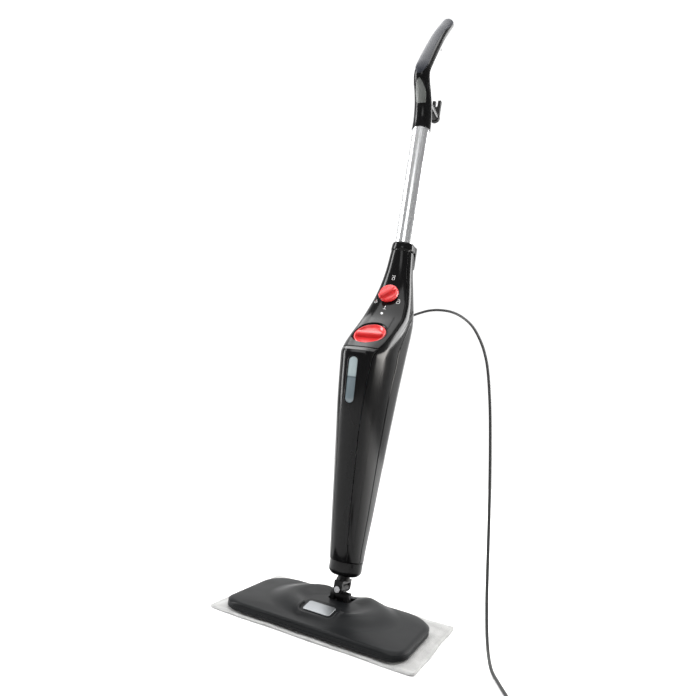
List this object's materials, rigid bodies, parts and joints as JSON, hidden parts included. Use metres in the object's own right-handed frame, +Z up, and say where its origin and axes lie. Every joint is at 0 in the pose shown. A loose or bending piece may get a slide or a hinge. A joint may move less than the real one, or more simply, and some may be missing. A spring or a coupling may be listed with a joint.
{
  "type": "steam mop",
  "caption": "Upright steam mop with a flat padded steam head, two-axis neck, slim water and steam housing, aluminium tube, raked grip and a mains lead laid in a coil.",
  "frame": {"origin": "middle of the cleaning pad's underside, on the floor", "axes": "+Z up, -Y towards the front of the mop, +X to the user's right when facing the front; the housing leans back by six degrees"},
  "size_m": [0.5679, 0.4326, 1.1442],
  "materials": {
    "pad_cloth": "white microfibre, sewn hem",
    "hook_nylon": "hook fastener",
    "charcoal_shell": "satin charcoal moulding",
    "black_nylon": "satin black nylon",
    "gloss_black": "polished black moulding",
    "steel": "plain steel",
    "silver_plate": "satin silver",
    "tube_aluminium": "satin anodised",
    "cast_aluminium": "as cast",
    "coral_plastic": "coral red moulding",
    "clear_plastic": "clear moulding",
    "led_white": "white light window",
    "seal_rubber": "soft rubber",
    "grey_plastic": "satin grey moulding",
    "grip_rubber": "soft-touch slate grey",
    "green_board": "coated board",
    "pump_plastic": "plain moulding",
    "silicone": "soft silicone",
    "cord_rubber": "smooth black sheath",
    "brass": "plated pins"
  },
  "bodies": {
    "head": {"cleaning_pad": "pad_cloth", "pad_tag": "pad_cloth", "hook_strips": "hook_nylon", "head_base": "charcoal_shell", "steam_channel": "cast_aluminium", "head_cover": "charcoal_shell", "badge_plate": "silver_plate", "head_screws": "steel", "hinge_bracket": "black_nylon", "pitch_pin": "steel"},
    "knuckle": {"knuckle": "black_nylon"},
    "main": {"roll_pin": "steel", "roll_pin_clip": "steel", "neck_yoke": "black_nylon", "neck_washers": "black_nylon", "lower_collar": "gloss_black", "rear_shell": "gloss_black", "side_panel_left": "gloss_black", "side_panel_right": "gloss_black", "front_cover": "gloss_black", "window_lens": "clear_plastic", "water_tank": "clear_plastic", "filler_bezel": "gloss_black", "control_panel": "gloss_black", "dial_switch": "black_nylon", "led_lens": "led_white", "circuit_board": "green_board", "water_pump": "pump_plastic", "pump_mounts": "black_nylon", "boiler": "cast_aluminium", "boiler_bracket": "steel", "thermostat": "steel", "thermal_fuse": "pump_plastic", "suction_hose": "silicone", "pressure_hose": "silicone", "steam_hose": "silicone", "shell_screws": "steel", "strain_relief": "cord_rubber", "upper_collar": "gloss_black", "lower_cord_hook": "black_nylon", "tube": "tube_aluminium", "tube_screw": "steel", "handle_left": "gloss_black", "handle_right": "gloss_black", "grip_insert": "grip_rubber", "handle_inset": "grey_plastic", "handle_screws": "steel", "hook_screw": "steel", "cord_tube": "cord_rubber", "cord_coil": "cord_rubber", "cord_tail": "cord_rubber", "cord_tie": "cord_rubber", "plug_body": "cord_rubber", "plug_pins": "brass"},
    "dial": {"dial_knob": "coral_plastic", "dial_shaft": "steel"},
    "cap_seal": {"filler_seal": "seal_rubber"},
    "cap": {"cap_knob": "coral_plastic", "cap_stopper": "grey_plastic"},
    "cord_hook": {"upper_cord_hook": "black_nylon"}
  },
  "joints": [
    {"name": "neck_pitch", "type": "hinge", "parent": "head", "child": "knuckle", "pos_m": [0, 0.01575, 0.03207], "axis": [-1, 0, 0], "range_deg": [-6, 45]},
    {"name": "neck_roll", "type": "hinge", "parent": "knuckle", "child": "main", "pos_m": [0, 0.017, 0.044], "axis": [0, 0.9945, -0.1045], "range_deg": [-40, 40]},
    {"name": "dial_turn", "type": "hinge", "parent": "main", "child": "dial", "pos_m": [0, 0.05874, 0.54639], "axis": [0, 0.9135, -0.4067], "range_deg": [0, 260]},
    {"name": "cap_lift", "type": "slide", "parent": "main", "child": "cap_seal", "axis": [0, -0.682, 0.7314], "range_m": [0, 0.05]},
    {"name": "cap_turn", "type": "hinge", "parent": "cap_seal", "child": "cap", "pos_m": [0, -0.00505, 0.46561], "axis": [0, -0.682, 0.7314], "range_deg": [0, 90]},
    {"name": "hook_swing", "type": "hinge", "parent": "main", "child": "cord_hook", "pos_m": [0, 0.17916, 0.93126], "axis": [0, 0.9979, -0.0645], "range_deg": [0, 180]}
  ]
}
